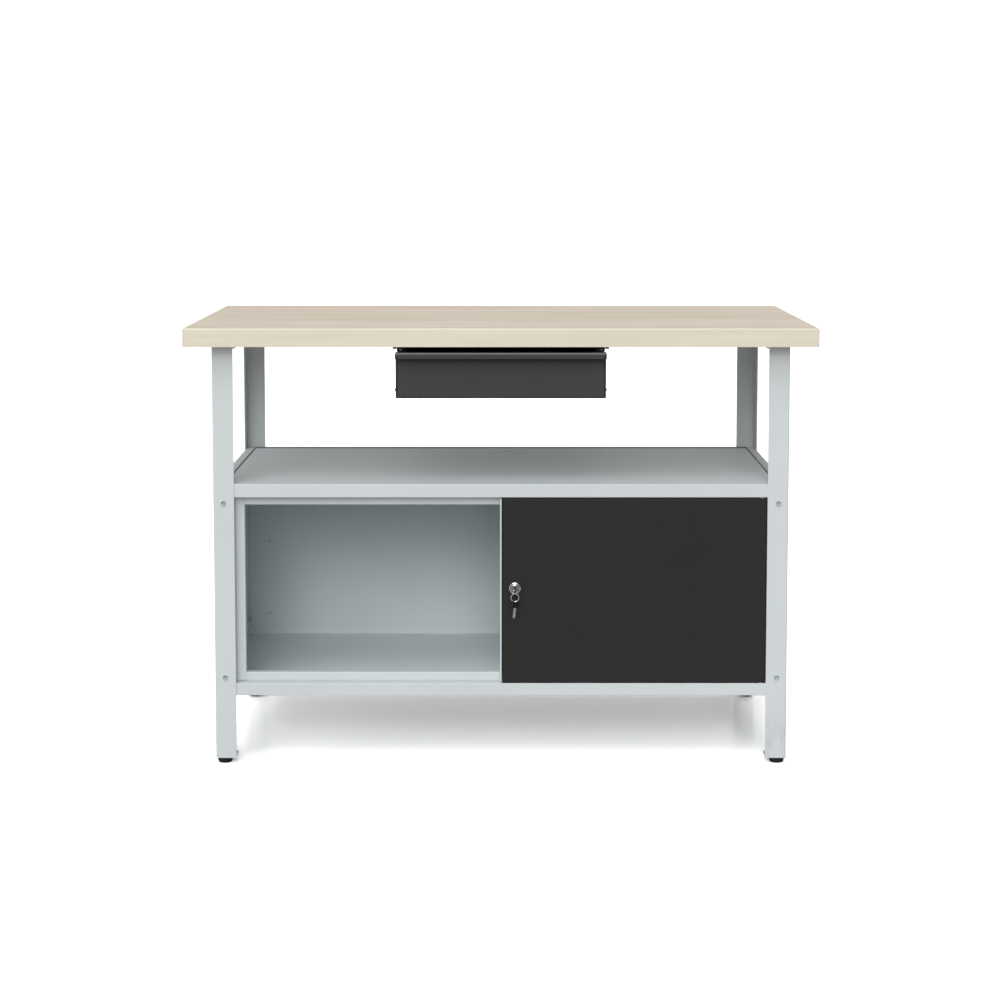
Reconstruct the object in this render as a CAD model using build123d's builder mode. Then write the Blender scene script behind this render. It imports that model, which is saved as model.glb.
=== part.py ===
from math import asin, cos, radians, sin, tan
import os

from build123d import *

# Steel workbench: a wooden top on four angle legs, a drawer slung under the top,
# and a low cabinet whose left half is open and whose right half has a locking door.
# X runs along the bench, the front faces -Y, Z is up, millimetres.

# ---------------------------------------------------------------- overall sizes
bench_width = 1200
bench_depth = 600
bench_height = 850
top_thick = 35
side_overhang = 48
front_overhang = 45
rear_overhang = 50

# ---------------------------------------------------------------- leg frame
leg_flange = 40
leg_gauge = 2.0
leg_bend = 3.0
foot_height = 11
foot_top_radius = 15
foot_base_radius = 10
foot_inset = 16
foot_plate_thick = 3
stud_radius = 4
rail_drop = 8
rail_gauge = 1.6

# ---------------------------------------------------------------- cabinet
sheet = 1.0
bend = 1.6
cabinet_bottom = 133.5
shelf_height = 546.5
shelf_lip = 26
pan_lip = 24
door_recess = 22
stile_width = 17.3
header_depth = 17.5
sill_depth = 16.5
groove_strip = 17
side_groove = 2.0
rear_groove = 5.0
shelf_fold = 12
upstand = 14.5
hem_half = 1.65
hem_depth = 15
rivet_radius = 1.7
rivet_head = 3.0
bolt_radius = 3.0
bolt_clear = 0.3

# ---------------------------------------------------------------- door and lock
door_thick = 18
door_gap = 1.6
door_top_gap = 1.5
door_flange = 13
hinge_in = 8
hinge_back = 6
pin_radius = 2.25
running_gap = 0.35
lock_from_edge = 24.1
lock_height = 344.3
lock_flange_radius = 11.5
barrel_radius = 9
plug_radius = 6.7
cam_length = 31
cam_width = 14

# ---------------------------------------------------------------- drawer
drawer_width = 400
drawer_long = 400
face_back = 29
lip_forward = 23
lip_drop = 10
face_top = 802
face_bottom = 714.5
runner_gauge = 1.0
slide_gauge = 1.5
slide_bend = 1.7
slide_long = 448

# ---------------------------------------------------------------- worked-out planes
under_top = bench_height - top_thick
frame_half = bench_width / 2 - side_overhang
frame_front = -bench_depth / 2 + front_overhang
frame_rear = bench_depth / 2 - rear_overhang
box_front = frame_front + leg_gauge
box_rear = frame_rear - leg_gauge
box_half = frame_half - leg_gauge
jamb_half = frame_half - leg_flange
open_half = jamb_half - stile_width
ring_face = box_front + door_recess
lip_under = shelf_height - shelf_lip
ledge_top = cabinet_bottom + pan_lip
header_bottom = lip_under - header_depth
sill_top = ledge_top + sill_depth
pan_floor = cabinet_bottom + sheet
back_inner = box_rear - 2 * sheet
bolt_x = frame_half - leg_flange / 2 + 0.5
bolt_levels = (lip_under - 10.5, sill_top - 4)
rear_bolt_y = frame_rear - leg_flange / 2 - 2
return_depth = 13

door_left = hem_half + 1.25
door_right = jamb_half - door_gap
door_bottom = ledge_top + door_top_gap
door_top = lip_under - door_top_gap
door_front = box_front
door_rear = door_front + door_thick
hinge_x = door_right - hinge_in
hinge_y = door_front + hinge_back
lock_x = door_left + lock_from_edge
cam_front = door_rear + 2.4
cam_rear = cam_front + 2

face_y = -bench_depth / 2 + face_back
lip_y = face_y - lip_forward
tray_half = drawer_width / 2 - sheet
tray_front = face_y + sheet + 0.8
tray_rear = tray_front + drawer_long
tray_top = face_top - 3
slide_front = face_y + 13
web_x = drawer_width / 2 - 1.8
slide_bottom = face_top + 0.5
hook_level = slide_bottom + slide_gauge + 4.0

parts = {}


def keep(builder, label):
    builder.part.label = label
    parts[label] = builder.part


def folded(points, gauge, radius, side):
    """Face of a folded strip: one skin line with bent corners, thickened to one side."""
    with BuildLine() as skin:
        FilletPolyline(*points, radius=radius)
        offset(amount=gauge, side=side)
    make_face(skin.edges())


def block(x, y, z, mode=Mode.ADD):
    """Rectangular block between pairs of planes."""
    with BuildSketch(Plane.XY.offset(z[0]), mode=Mode.PRIVATE) as foot:
        with Locations(((x[0] + x[1]) / 2, (y[0] + y[1]) / 2)):
            Rectangle(x[1] - x[0], y[1] - y[0])
    extrude(foot.sketch, amount=z[1] - z[0], mode=mode)


def rod(axis, at, start, stop, radius, mode=Mode.ADD):
    """Round bar along X, Y or Z between two planes; `at` is its place in the other two axes."""
    plane = {
        "x": Plane((start, at[0], at[1]), z_dir=(1, 0, 0)),
        "y": Plane((at[0], start, at[1]), z_dir=(0, 1, 0)),
        "z": Plane((at[0], at[1], start), z_dir=(0, 0, 1)),
    }[axis]
    with BuildSketch(plane, mode=Mode.PRIVATE) as disc:
        Circle(radius)
    extrude(disc.sketch, amount=stop - start, mode=mode)


def hexagon(axis, at, start, stop, across):
    """Hexagonal bar between two planes."""
    plane = {
        "x": Plane((start, at[0], at[1]), z_dir=(1, 0, 0)),
        "y": Plane((at[0], start, at[1]), z_dir=(0, 1, 0)),
        "z": Plane((at[0], at[1], start), z_dir=(0, 0, 1)),
    }[axis]
    with BuildSketch(plane, mode=Mode.PRIVATE) as six:
        RegularPolygon(across / 2, 6, major_radius=False)
    extrude(six.sketch, amount=stop - start)


def domed(axis, at, seat, out, radius, height):
    """Low domed head standing on a seat plane; `out` is +1 or -1 along the axis."""
    spin = Vector(*{"x": (out, 0, 0), "y": (0, out, 0), "z": (0, 0, out)}[axis])
    radial = Vector(*{"x": (0, 1, 0), "y": (0, 0, 1), "z": (1, 0, 0)}[axis])
    foot = {"x": (seat, at[0], at[1]), "y": (at[0], seat, at[1]), "z": (at[0], at[1], seat)}[axis]
    ball = (radius**2 + height**2) / (2 * height)
    half_angle = asin(radius / ball) / 2
    crown = (ball * sin(half_angle), height - ball + ball * cos(half_angle))
    with BuildLine() as arch:
        Line((0, 0), (radius, 0))
        ThreePointArc((radius, 0), crown, (0, height))
        Line((0, height), (0, 0))
    with BuildSketch(Plane(foot, x_dir=radial, z_dir=radial.cross(spin)), mode=Mode.PRIVATE) as cap:
        make_face(arch.edges())
    revolve(cap.sketch, axis=Axis(foot, spin), revolution_arc=360)


def rivet(axis, at, near, far, radius=rivet_radius, head=rivet_head, low=1.2):
    """Rivet clamping the sheets between two planes, with a low head at both ends."""
    rod(axis, at, near, far, radius)
    domed(axis, at, near, -1, head, low)
    domed(axis, at, far, 1, head, low)


# ================================================================ worktop
screw_x = frame_half - leg_flange / 2 - 1
screw_rows = (-0.32 * bench_depth, 0, 0.32 * bench_depth)
slide_screw_x = web_x + 4.6
slide_screw_rows = (slide_front + 9, slide_front + slide_long / 2, slide_front + slide_long - 12)
screw_core = 2.0
screw_bite = 18

with BuildPart() as worktop:
    block(
        (-bench_width / 2, bench_width / 2), (-bench_depth / 2, bench_depth / 2),
        (under_top, bench_height),
    )
    fillet(worktop.edges().group_by(Axis.Z)[-1], 2.0)
    fillet(worktop.edges().filter_by(Axis.Z), 1.5)
    for side in (-1, 1):
        for y in screw_rows:
            rod("z", (side * screw_x, y), under_top, under_top + screw_bite, screw_core, Mode.SUBTRACT)
        for y in slide_screw_rows:
            rod("z", (side * slide_screw_x, y), under_top, under_top + screw_bite, screw_core, Mode.SUBTRACT)
keep(worktop, "worktop")

# ================================================================ legs
with BuildPart() as leg_front_left:
    with BuildSketch(Plane.XY.offset(foot_height)):
        folded(
            [(-jamb_half, frame_front), (-frame_half, frame_front), (-frame_half, frame_front + leg_flange)],
            leg_gauge, leg_bend, Side.RIGHT,
        )
    extrude(amount=under_top - foot_height)
    for z in bolt_levels:
        rod("y", (-bolt_x, z), frame_front - 1, box_front + 1, bolt_radius + bolt_clear, Mode.SUBTRACT)
keep(leg_front_left, "leg_front_left")

with BuildPart() as leg_rear_left:
    with BuildSketch(Plane.XY.offset(foot_height)):
        folded(
            [(-jamb_half, frame_rear), (-frame_half, frame_rear), (-frame_half, frame_rear - leg_flange)],
            leg_gauge, leg_bend, Side.LEFT,
        )
    extrude(amount=under_top - foot_height)
    for z in bolt_levels:
        rod("x", (rear_bolt_y, z), -frame_half - 1, -box_half + 1, bolt_radius + bolt_clear, Mode.SUBTRACT)
keep(leg_rear_left, "leg_rear_left")

with BuildPart() as leg_front_right:
    mirror(leg_front_left.part, about=Plane.YZ)
keep(leg_front_right, "leg_front_right")

with BuildPart() as leg_rear_right:
    mirror(leg_rear_left.part, about=Plane.YZ)
keep(leg_rear_right, "leg_rear_right")

# ---------------------------------------------------------------- rails that carry the top
corner_ease = 0.5
with BuildPart() as top_rail_left:
    with BuildSketch(Plane.XZ.offset(-(box_rear - corner_ease))):
        folded(
            [
                (-box_half + corner_ease, under_top - rail_drop), (-box_half + corner_ease, under_top),
                (-jamb_half + 2, under_top), (-jamb_half + 2, under_top - rail_drop),
            ],
            rail_gauge, rail_gauge + 0.6, Side.RIGHT,
        )
    extrude(amount=box_rear - box_front - 2 * corner_ease)
    for y in screw_rows:
        rod("z", (-screw_x, y), under_top - rail_gauge, under_top, screw_core, Mode.SUBTRACT)
keep(top_rail_left, "top_rail_left")

with BuildPart() as top_rail_right:
    mirror(top_rail_left.part, about=Plane.YZ)
keep(top_rail_right, "top_rail_right")

with BuildPart() as worktop_screws:
    for side in (-1, 1):
        for y in screw_rows:
            rod("z", (side * screw_x, y), under_top - rail_gauge, under_top + screw_bite, screw_core)
            domed("z", (side * screw_x, y), under_top - rail_gauge, -1, 4.5, 2.8)
keep(worktop_screws, "worktop_screws")

# ---------------------------------------------------------------- feet
foot_x = frame_half - foot_inset
foot_spots = {
    "front_left": (-foot_x, frame_front + foot_inset), "front_right": (foot_x, frame_front + foot_inset),
    "rear_left": (-foot_x, frame_rear - foot_inset), "rear_right": (foot_x, frame_rear - foot_inset),
}
with BuildPart() as foot_plates:
    for x, y in foot_spots.values():
        outer_x = (box_half - corner_ease) * (1 if x > 0 else -1)
        outer_y = box_rear - corner_ease if y > 0 else box_front + corner_ease
        span_x = leg_flange - leg_gauge - 2
        xs = sorted((outer_x, outer_x - span_x * (1 if x > 0 else -1)))
        ys = sorted((outer_y, outer_y - span_x * (1 if y > 0 else -1)))
        block(xs, ys, (foot_height, foot_height + foot_plate_thick))
        rod("z", (x, y), foot_height, foot_height + foot_plate_thick, stud_radius, Mode.SUBTRACT)
keep(foot_plates, "foot_plates")

for place, (x, y) in foot_spots.items():
    with BuildPart() as foot:
        with BuildSketch(Plane.XY):
            with Locations((x, y)):
                Circle(foot_base_radius)
        with BuildSketch(Plane.XY.offset(foot_height)):
            with Locations((x, y)):
                Circle(foot_top_radius)
        loft()
        fillet(foot.edges().group_by(Axis.Z)[0], 1.2)
        rod("z", (x, y), foot_height, foot_height + 14, stud_radius)
    keep(foot, f"foot_{place}")

with BuildPart() as foot_nuts:
    for x, y in foot_spots.values():
        hexagon("z", (x, y), foot_height + foot_plate_thick, foot_height + foot_plate_thick + 6.5, 13)
        rod("z", (x, y), foot_height, foot_height + 20, stud_radius, Mode.SUBTRACT)
keep(foot_nuts, "foot_nuts")

# ================================================================ cabinet carcass
back_flange_reach = leg_flange + 9
back_rivet_x = box_half - back_flange_reach + 4
back_rivet_rows = (cabinet_bottom + 46, cabinet_bottom + 206, cabinet_bottom + 366)
side_rivet_rows = (-0.17 * bench_depth, 0.17 * bench_depth)
side_rivet_z = cabinet_bottom + 8.5
strip_inner = box_half - groove_strip
rest_level = shelf_height - sheet - shelf_fold
rest_reach = 18

with BuildPart() as side_panel_left:
    with BuildSketch(Plane.XY.offset(ledge_top + sheet)):
        folded(
            [
                (-open_half, ring_face + return_depth), (-open_half, ring_face), (-jamb_half, ring_face),
                (-jamb_half, box_front), (-box_half, box_front), (-box_half, box_rear),
                (-box_half + back_flange_reach, box_rear),
            ],
            sheet, bend, Side.RIGHT,
        )
    extrude(amount=lip_under - ledge_top - 2 * sheet)
    with BuildSketch(Plane.XY.offset(cabinet_bottom)):
        folded(
            [
                (-box_half, box_front + 3), (-box_half, box_rear), (-box_half + back_flange_reach, box_rear),
            ],
            sheet, bend, Side.RIGHT,
        )
    extrude(amount=shelf_height - bend - 1 - cabinet_bottom)
    with BuildSketch(Plane.XZ.offset(-(box_rear - bend))):
        folded(
            [
                (-box_half, lip_under + 3), (-box_half, shelf_height), (-strip_inner, shelf_height),
                (-strip_inner, rest_level), (-strip_inner + rest_reach, rest_level),
            ],
            sheet, bend, Side.RIGHT,
        )
    extrude(amount=box_rear - bend - (box_front + sheet + 0.5))
    # the groove fold and its rest stop short of the back panel's own fold
    rear_fold_y = box_rear - sheet - groove_strip + 1
    block(
        (-strip_inner - sheet, -strip_inner + rest_reach + 1), (rear_fold_y - 1, box_rear - sheet),
        (rest_level - 2, shelf_height - sheet), Mode.SUBTRACT,
    )
    for z in bolt_levels:
        rod("y", (-bolt_x, z), box_front - 1, box_front + 2, bolt_radius + bolt_clear, Mode.SUBTRACT)
        rod("x", (rear_bolt_y, z), -box_half - 1, -box_half + 2, bolt_radius + bolt_clear, Mode.SUBTRACT)
    for z in back_rivet_rows:
        rod("y", (-back_rivet_x, z), box_rear - sheet, box_rear, rivet_radius, Mode.SUBTRACT)
    for y in side_rivet_rows:
        rod("x", (y, side_rivet_z), -box_half, -box_half + sheet, rivet_radius, Mode.SUBTRACT)
keep(side_panel_left, "side_panel_left")

with BuildPart() as side_panel_right:
    mirror(side_panel_left.part, about=Plane.YZ)
keep(side_panel_right, "side_panel_right")

partition_rivet_x = 9
shelf_rivet_rows = (ring_face + 20, 0.7 * box_rear)
floor_rivet_rows = (-0.25 * bench_depth, 0.25 * bench_depth)
back_partition_rows = (cabinet_bottom + 66, cabinet_bottom + 346)

with BuildPart() as back_panel:
    with BuildSketch(Plane.YZ.offset(-strip_inner + 0.5)):
        folded(
            [
                (box_rear - sheet, pan_floor), (box_rear - sheet, shelf_height),
                (rear_fold_y, shelf_height), (rear_fold_y, shelf_height - shelf_fold),
            ],
            sheet, bend, Side.LEFT,
        )
    extrude(amount=2 * (strip_inner - 0.5))
    for side in (-1, 1):
        xs = sorted((side * (strip_inner - 1), side * (box_half - sheet - 0.6)))
        block(xs, (back_inner, box_rear - sheet), (pan_floor, shelf_height - sheet - 1.5))
        for z in back_rivet_rows:
            rod("y", (side * back_rivet_x, z), back_inner, box_rear, rivet_radius, Mode.SUBTRACT)
    for z in back_partition_rows:
        rod("y", (partition_rivet_x, z), back_inner - 1, box_rear, rivet_radius, Mode.SUBTRACT)
keep(back_panel, "back_panel")

shelf_half = strip_inner - side_groove
shelf_rear = rear_fold_y - rear_groove
with BuildPart() as middle_shelf:
    with BuildSketch(Plane.YZ.offset(-shelf_half)):
        folded(
            [
                (shelf_rear, shelf_height - shelf_fold), (shelf_rear, shelf_height),
                (box_front, shelf_height),
                (box_front, lip_under), (ring_face + return_depth, lip_under),
            ],
            sheet, bend, Side.LEFT,
        )
    extrude(amount=2 * shelf_half)
    for side in (-1, 1):
        xs = sorted((side * shelf_half, side * (shelf_half - sheet)))
        block(xs, (box_front + 3, shelf_rear - 1), (rest_level, shelf_height - sheet / 2))
    for y in shelf_rivet_rows:
        rod("z", (partition_rivet_x, y), shelf_height - 2, shelf_height + 1, rivet_radius, Mode.SUBTRACT)
    rod("z", (hinge_x, hinge_y), lip_under - 1, lip_under + 2, pin_radius, Mode.SUBTRACT)
keep(middle_shelf, "middle_shelf")

with BuildPart() as bottom_pan:
    with BuildSketch(Plane.YZ.offset(-box_half + sheet + 0.1)):
        folded(
            [
                (back_inner, cabinet_bottom + upstand), (back_inner, cabinet_bottom),
                (box_front, cabinet_bottom),
                (box_front, ledge_top), (ring_face + return_depth, ledge_top),
            ],
            sheet, bend, Side.RIGHT,
        )
    extrude(amount=2 * (box_half - sheet - 0.1))
    for side in (-1, 1):
        xs = sorted((side * (box_half - sheet - 0.1), side * (box_half - 2 * sheet - 0.1)))
        block(xs, (ring_face + return_depth + 1, back_inner - 1), (cabinet_bottom, cabinet_bottom + upstand))
        for y in side_rivet_rows:
            ends = sorted((side * (box_half - 3), side * box_half))
            rod("x", (y, side_rivet_z), ends[0], ends[1], rivet_radius, Mode.SUBTRACT)
        # locating slot near each end of the ledge
        block(
            (side * (open_half - 9) - 3.5, side * (open_half - 9) + 3.5), (box_front + 5, box_front + 9),
            (ledge_top - 2, ledge_top + 1), Mode.SUBTRACT,
        )
    for y in floor_rivet_rows:
        rod("z", (partition_rivet_x, y), cabinet_bottom - 1, pan_floor + 1, rivet_radius, Mode.SUBTRACT)
    rod("z", (hinge_x, hinge_y), ledge_top - 2, ledge_top + 1, pin_radius, Mode.SUBTRACT)
keep(bottom_pan, "bottom_pan")

# ---------------------------------------------------------------- recessed front frame
web_slot = 1.5
with BuildPart() as front_header:
    with BuildSketch(Plane.YZ.offset(-open_half)):
        folded(
            [
                (ring_face + return_depth, header_bottom), (ring_face, header_bottom),
                (ring_face, lip_under),
                (ring_face + return_depth, lip_under),
            ],
            sheet, bend, Side.RIGHT,
        )
    extrude(amount=2 * open_half)
    block(
        (-web_slot, web_slot), (ring_face - 1, ring_face + return_depth + 1),
        (header_bottom - 1, lip_under - bend - 0.2), Mode.SUBTRACT,
    )
keep(front_header, "front_header")

with BuildPart() as front_sill:
    with BuildSketch(Plane.YZ.offset(-open_half)):
        folded(
            [
                (ring_face + return_depth, sill_top), (ring_face, sill_top), (ring_face, ledge_top),
                (ring_face + return_depth, ledge_top),
            ],
            sheet, bend, Side.LEFT,
        )
    extrude(amount=2 * open_half)
    block(
        (-web_slot, web_slot), (ring_face - 1, ring_face + return_depth + 1),
        (ledge_top + bend + 0.2, sill_top + 1), Mode.SUBTRACT,
    )
keep(front_sill, "front_sill")

# ---------------------------------------------------------------- centre partition
part_front = box_front + 2
part_step = ring_face + return_depth + 1
nose_low = ledge_top + bend + 0.6
nose_high = lip_under - bend - 0.6
part_top = shelf_height - sheet
notch_y = shelf_rear - sheet - 1
notch_z = rest_level - 0.5
flange_reach = 17
cam_slot_low = lock_height - cam_width / 2 - 1.8
cam_slot_high = lock_height + 19.2

with BuildPart() as centre_partition:
    with BuildSketch(Plane.YZ.offset(-sheet / 2)):
        with BuildLine():
            Polyline(
                (part_front + 1, nose_low), (part_step, nose_low), (part_step, pan_floor),
                (back_inner - 2 * sheet, pan_floor),
                (back_inner - 2 * sheet, cabinet_bottom + upstand + 0.5),
                (back_inner, cabinet_bottom + upstand + 0.5), (back_inner, notch_z), (notch_y, notch_z),
                (notch_y, part_top), (part_step, part_top), (part_step, nose_high),
                (part_front + 1, nose_high), close=True,
            )
        make_face()
    extrude(amount=sheet)
    with BuildSketch(Plane.XY.offset(nose_low)):
        with Locations((0, part_front + hem_depth / 2)):
            RectangleRounded(2 * hem_half, hem_depth, 1.0)
    extrude(amount=nose_high - nose_low)
    reach = (-sheet / 2, flange_reach)
    block(reach, (part_step + 1, notch_y), (part_top - sheet, part_top))
    block(reach, (part_step + 1, back_inner - 2), (pan_floor, pan_floor + sheet))
    block(reach, (back_inner - sheet, back_inner), (cabinet_bottom + upstand + 1, notch_z))
    block((-2, 2), (ring_face - 4.5, ring_face + 3), (cam_slot_low, cam_slot_high), Mode.SUBTRACT)
    for y in shelf_rivet_rows:
        rod("z", (partition_rivet_x, y), part_top - 2, part_top + 1, rivet_radius, Mode.SUBTRACT)
    for y in floor_rivet_rows:
        rod("z", (partition_rivet_x, y), pan_floor - 1, pan_floor + 2, rivet_radius, Mode.SUBTRACT)
    for z in back_partition_rows:
        rod("y", (partition_rivet_x, z), back_inner - 2, back_inner + 1, rivet_radius, Mode.SUBTRACT)
keep(centre_partition, "centre_partition")

with BuildPart() as partition_rivets:
    for y in shelf_rivet_rows:
        rivet("z", (partition_rivet_x, y), part_top - sheet, shelf_height)
    for y in floor_rivet_rows:
        rivet("z", (partition_rivet_x, y), cabinet_bottom, pan_floor + sheet)
    for z in back_partition_rows:
        rivet("y", (partition_rivet_x, z), back_inner - sheet, back_inner + sheet)
keep(partition_rivets, "partition_rivets")

with BuildPart() as carcass_rivets:
    for side in (-1, 1):
        for z in back_rivet_rows:
            rivet("y", (side * back_rivet_x, z), back_inner, box_rear)
        for y in side_rivet_rows:
            ends = sorted((side * (box_half - 2 * sheet - 0.1), side * box_half))
            rivet("x", (y, side_rivet_z), ends[0], ends[1])
keep(carcass_rivets, "carcass_rivets")

# ---------------------------------------------------------------- bolts that hold the cabinet in the legs
nut_high = 5
with BuildPart() as leg_bolts:
    for side in (-1, 1):
        for z in bolt_levels:
            rod("y", (side * bolt_x, z), frame_front, box_front + sheet + nut_high + 1, bolt_radius)
            domed("y", (side * bolt_x, z), frame_front, -1, 4.9, 3.0)
            ends = sorted((side * frame_half, side * (box_half - sheet - nut_high - 1)))
            rod("x", (rear_bolt_y, z), ends[0], ends[1], bolt_radius)
            domed("x", (rear_bolt_y, z), side * frame_half, side, 4.9, 3.0)
keep(leg_bolts, "leg_bolts")

with BuildPart() as leg_nuts:
    for side in (-1, 1):
        for z in bolt_levels:
            seat = box_front + sheet
            hexagon("y", (side * bolt_x, z), seat, seat + nut_high, 10)
            rod("y", (side * bolt_x, z), seat, seat + nut_high, bolt_radius, Mode.SUBTRACT)
            ends = sorted((side * (box_half - sheet), side * (box_half - sheet - nut_high)))
            hexagon("x", (rear_bolt_y, z), ends[0], ends[1], 10)
            rod("x", (rear_bolt_y, z), ends[0], ends[1], bolt_radius, Mode.SUBTRACT)
keep(leg_nuts, "leg_nuts")

# ================================================================ door
collar_high = door_top_gap - 0.3
with BuildPart() as hinge_pins:
    spot = (hinge_x, hinge_y)
    rod("z", spot, ledge_top - sheet, door_bottom + 7, pin_radius)
    rod("z", spot, ledge_top, ledge_top + collar_high, 4.0)
    rod("z", spot, ledge_top - sheet - 3, ledge_top - sheet, 4.0)
    rod("z", spot, door_top - 7, lip_under + sheet, pin_radius)
    rod("z", spot, lip_under - collar_high, lip_under, 4.0)
    rod("z", spot, lip_under + sheet, lip_under + sheet + 3, 4.0)
keep(hinge_pins, "hinge_pins")

bush_radius = 4.2
with BuildPart() as hinge_bushes:
    rod("z", spot, door_bottom, door_bottom + sheet, bush_radius)
    rod("z", spot, door_bottom + sheet, door_bottom + sheet + 2.5, 4.8)
    rod("z", spot, door_top - sheet, door_top, bush_radius)
    rod("z", spot, door_top - sheet - 2.5, door_top - sheet, 4.8)
    rod("z", spot, door_bottom - 1, door_top + 1, pin_radius + running_gap, Mode.SUBTRACT)
keep(hinge_bushes, "hinge_bushes")

with BuildPart() as door_panel:
    block((door_left, door_right), (door_front, door_rear), (door_bottom, door_top))
    fillet(door_panel.edges().group_by(Axis.Y)[0], 2.0)
    block(
        (door_left + sheet, door_right - sheet), (door_front + sheet, door_rear - sheet),
        (door_bottom + sheet, door_top - sheet), Mode.SUBTRACT,
    )
    block(
        (door_left + door_flange, door_right - door_flange), (door_rear - 2 * sheet, door_rear + 1),
        (door_bottom + door_flange, door_top - door_flange), Mode.SUBTRACT,
    )
    rod("z", spot, door_bottom - 1, door_bottom + sheet, bush_radius, Mode.SUBTRACT)
    rod("z", spot, door_top - sheet, door_top + 1, bush_radius, Mode.SUBTRACT)
    rod("y", (lock_x, lock_height), door_front - 1, door_front + sheet, barrel_radius, Mode.SUBTRACT)
keep(door_panel, "door_panel")

stiff_x = (door_left + door_right) / 2 - 20
with BuildPart() as door_stiffener:
    with BuildSketch(Plane.XY.offset(door_bottom + sheet + 0.2)):
        folded(
            [
                (stiff_x, door_rear - 2 * sheet), (stiff_x, door_front + sheet),
                (stiff_x + 40, door_front + sheet), (stiff_x + 40, door_rear - 2 * sheet),
            ],
            sheet, bend, Side.LEFT,
        )
    extrude(amount=door_top - door_bottom - 2 * sheet - 0.4)
keep(door_stiffener, "door_stiffener")

with BuildPart() as door_bumpers:
    for z in (door_bottom + door_flange / 2, door_top - door_flange / 2):
        rod("y", (door_left + 40, z), door_rear, ring_face - 0.3, 4.5)
keep(door_bumpers, "door_bumpers")

# ---------------------------------------------------------------- cam lock
lock_spot = (lock_x, lock_height)
flange_front = door_front - 2.5
barrel_rear = cam_front - 0.4
with BuildPart() as lock_body:
    rod("y", lock_spot, flange_front, door_front, lock_flange_radius)
    fillet(lock_body.edges().group_by(Axis.Y)[0], 1.4)
    rod("y", lock_spot, door_front, barrel_rear, barrel_radius)
    rod("y", lock_spot, flange_front - 1, barrel_rear + 1, plug_radius + 0.3, Mode.SUBTRACT)
keep(lock_body, "lock_body")

with BuildPart() as lock_nut:
    hexagon("y", lock_spot, door_front + sheet, door_front + sheet + 5, 24)
    rod("y", lock_spot, door_front, door_front + 10, barrel_radius, Mode.SUBTRACT)
keep(lock_nut, "lock_nut")

blade_thick = 2.0
blade_tall = 8.0
with BuildPart() as lock_plug:
    rod("y", lock_spot, flange_front + 0.3, cam_front, plug_radius)
    block(
        (lock_x - blade_thick / 2 - 0.1, lock_x + blade_thick / 2 + 0.1),
        (flange_front - 1, flange_front + 15),
        (lock_height - blade_tall / 2 - 0.2, lock_height + blade_tall / 2 + 0.2), Mode.SUBTRACT,
    )
    rod("y", lock_spot, cam_front - 5, cam_front, 2.0, Mode.SUBTRACT)
keep(lock_plug, "lock_plug")

with BuildPart() as lock_cam:
    with BuildSketch(Plane((lock_x, cam_front, lock_height), x_dir=(1, 0, 0), z_dir=(0, -1, 0))):
        Circle(8.5)
        with Locations((0, cam_length / 2)):
            Rectangle(cam_width, cam_length)
        Circle(2.0, mode=Mode.SUBTRACT)
    extrude(amount=-(cam_rear - cam_front))
    tip = lock_cam.edges().filter_by(Axis.Y).group_by(Axis.Z)[-1]
    fillet(tip, 3.0)
keep(lock_cam, "lock_cam")

with BuildPart() as cam_screw:
    rod("y", lock_spot, cam_front - 5, cam_rear, 2.0)
    domed("y", lock_spot, cam_rear, 1, 4.0, 2.2)
keep(cam_screw, "cam_screw")

# ---------------------------------------------------------------- keys and ring
bow_y = flange_front - 12.5
bow_z = lock_height - 2.3
bow_radius = 10.0
bow_thick = 2.4
ring_y = bow_y - 4
ring_pivot_z = bow_z - 4.6
ring_radius = 7.6
wire_radius = 0.8
ring_hole = 2.6

with BuildPart() as key_blade:
    block(
        (lock_x - blade_thick / 2, lock_x + blade_thick / 2), (bow_y + bow_radius - 1, flange_front + 14.5),
        (lock_height - blade_tall / 2, lock_height + blade_tall / 2),
    )
    rod("x", (bow_y, bow_z), lock_x - 2, lock_x + 2, bow_radius, Mode.SUBTRACT)
keep(key_blade, "key_blade")

with BuildPart() as key_bow:
    rod("x", (bow_y, bow_z), lock_x - bow_thick / 2, lock_x + bow_thick / 2, bow_radius)
    fillet(key_bow.edges(), 0.7)
    rod("x", (ring_y, ring_pivot_z), lock_x - 2, lock_x + 2, ring_hole, Mode.SUBTRACT)
keep(key_bow, "key_bow")

with BuildPart() as key_ring:
    with Locations(Location((lock_x, ring_y, ring_pivot_z - ring_radius), (90, 0, 0))):
        Torus(ring_radius, wire_radius)
keep(key_ring, "key_ring")

# the spare key hangs on the ring, its flat turned between the ring and its wire
spare_z = ring_pivot_z - 2 * ring_radius
spare_turn = 45
spare_lean = 9
spare_bow_radius = 8.5
spare_drop = 4.0
spare_hole = 2.4
spare_thick = 1.6
spare_side = (spare_drop + 11.0) * tan(radians(spare_lean))
spare_plane = Plane(
    (lock_x, ring_y, spare_z),
    x_dir=(cos(radians(spare_turn)), sin(radians(spare_turn)), 0),
    z_dir=(sin(radians(spare_turn)), -cos(radians(spare_turn)), 0),
)
lean = radians(spare_lean)
along = (-sin(lean), -cos(lean))
across = (cos(lean), -sin(lean))
bow_mid = (
    spare_drop * along[0] + spare_side * across[0],
    spare_drop * along[1] + spare_side * across[1],
)

with BuildPart() as spare_bow:
    with BuildSketch(spare_plane.offset(-spare_thick / 2)):
        with Locations(bow_mid):
            Circle(spare_bow_radius)
        Circle(spare_hole, mode=Mode.SUBTRACT)
    extrude(amount=spare_thick)
keep(spare_bow, "spare_bow")

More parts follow.
